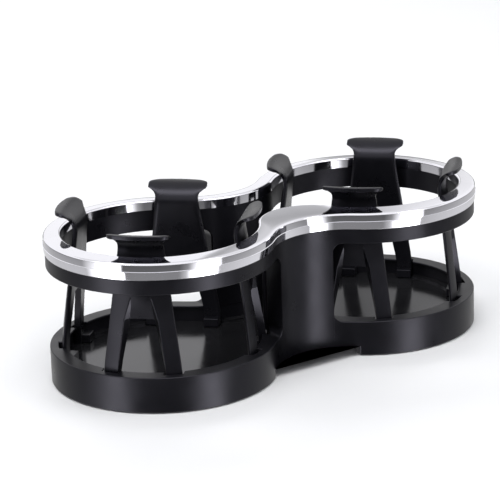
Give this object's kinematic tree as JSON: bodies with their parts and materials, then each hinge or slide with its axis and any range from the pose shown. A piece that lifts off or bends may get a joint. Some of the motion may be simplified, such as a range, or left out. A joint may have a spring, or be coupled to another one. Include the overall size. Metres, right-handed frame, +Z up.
{
  "type": "car cup holder",
  "caption": "Peanut-shaped two-cup holder for a car dashboard: black housing with open sides, chrome trim ring, glossy floor and sprung clamp arms.",
  "frame": {"origin": "middle of the underside, on the surface that the holder stands on", "axes": "+Z up, +X along the row of the two cups, -Y towards the front with the wide waist"},
  "size_m": [0.211, 0.1006, 0.0756],
  "materials": {
    "housing_plastic": "satin",
    "arm_plastic": "satin",
    "floor_plastic": "gloss",
    "chrome_trim": "polished",
    "steel": "bright drawn",
    "pad_rubber": "matte"
  },
  "bodies": {
    "base": {"housing": "housing_plastic", "trim_ring": "chrome_trim", "floor_plate": "floor_plastic", "pivot_pins": "steel", "left_base_cover": "housing_plastic", "right_base_cover": "housing_plastic", "left_pad": "pad_rubber", "right_pad": "pad_rubber", "cover_screws": "steel", "left_spring_back_inner": "steel", "left_spring_back_outer": "steel", "left_spring_front_outer": "steel", "left_spring_front_inner": "steel", "right_spring_back_outer": "steel", "right_spring_back_inner": "steel", "right_spring_front_inner": "steel", "right_spring_front_outer": "steel"},
    "left_arm_back_inner": {"left_arm_back_inner": "arm_plastic"},
    "left_arm_back_outer": {"left_arm_back_outer": "arm_plastic"},
    "left_arm_front_outer": {"left_arm_front_outer": "arm_plastic"},
    "left_arm_front_inner": {"left_arm_front_inner": "arm_plastic"},
    "right_arm_back_outer": {"right_arm_back_outer": "arm_plastic"},
    "right_arm_back_inner": {"right_arm_back_inner": "arm_plastic"},
    "right_arm_front_inner": {"right_arm_front_inner": "arm_plastic"},
    "right_arm_front_outer": {"right_arm_front_outer": "arm_plastic"}
  },
  "joints": [
    {"name": "left_back_inner_pivot", "type": "hinge", "parent": "base", "child": "left_arm_back_inner", "pos_m": [-0.02555, 0.0297, 0.0043], "axis": [-0.7071, 0.7071, 0], "range_deg": [0, 3.5], "stiffness_Nm_per_rad": 0.04, "springref_deg": -45.84, "deforming": ["left_spring_back_inner"]},
    {"name": "left_back_outer_pivot", "type": "hinge", "parent": "base", "child": "left_arm_back_outer", "pos_m": [-0.08495, 0.0297, 0.0043], "axis": [-0.7071, -0.7071, 0], "range_deg": [0, 3.5], "stiffness_Nm_per_rad": 0.04, "springref_deg": -45.84, "deforming": ["left_spring_back_outer"]},
    {"name": "left_front_outer_pivot", "type": "hinge", "parent": "base", "child": "left_arm_front_outer", "pos_m": [-0.08495, -0.0297, 0.0043], "axis": [0.7071, -0.7071, 0], "range_deg": [0, 3.5], "stiffness_Nm_per_rad": 0.04, "springref_deg": -45.84, "deforming": ["left_spring_front_outer"]},
    {"name": "left_front_inner_pivot", "type": "hinge", "parent": "base", "child": "left_arm_front_inner", "pos_m": [-0.02555, -0.0297, 0.0043], "axis": [0.7071, 0.7071, 0], "range_deg": [0, 3.5], "stiffness_Nm_per_rad": 0.04, "springref_deg": -45.84, "deforming": ["left_spring_front_inner"]},
    {"name": "right_back_outer_pivot", "type": "hinge", "parent": "base", "child": "right_arm_back_outer", "pos_m": [0.08495, 0.0297, 0.0043], "axis": [-0.7071, 0.7071, 0], "range_deg": [0, 3.5], "stiffness_Nm_per_rad": 0.04, "springref_deg": -45.84, "deforming": ["right_spring_back_outer"]},
    {"name": "right_back_inner_pivot", "type": "hinge", "parent": "base", "child": "right_arm_back_inner", "pos_m": [0.02555, 0.0297, 0.0043], "axis": [-0.7071, -0.7071, 0], "range_deg": [0, 3.5], "stiffness_Nm_per_rad": 0.04, "springref_deg": -45.84, "deforming": ["right_spring_back_inner"]},
    {"name": "right_front_inner_pivot", "type": "hinge", "parent": "base", "child": "right_arm_front_inner", "pos_m": [0.02555, -0.0297, 0.0043], "axis": [0.7071, -0.7071, 0], "range_deg": [0, 3.5], "stiffness_Nm_per_rad": 0.04, "springref_deg": -45.84, "deforming": ["right_spring_front_inner"]},
    {"name": "right_front_outer_pivot", "type": "hinge", "parent": "base", "child": "right_arm_front_outer", "pos_m": [0.08495, -0.0297, 0.0043], "axis": [0.7071, 0.7071, 0], "range_deg": [0, 3.5], "stiffness_Nm_per_rad": 0.04, "springref_deg": -45.84, "deforming": ["right_spring_front_outer"]}
  ]
}
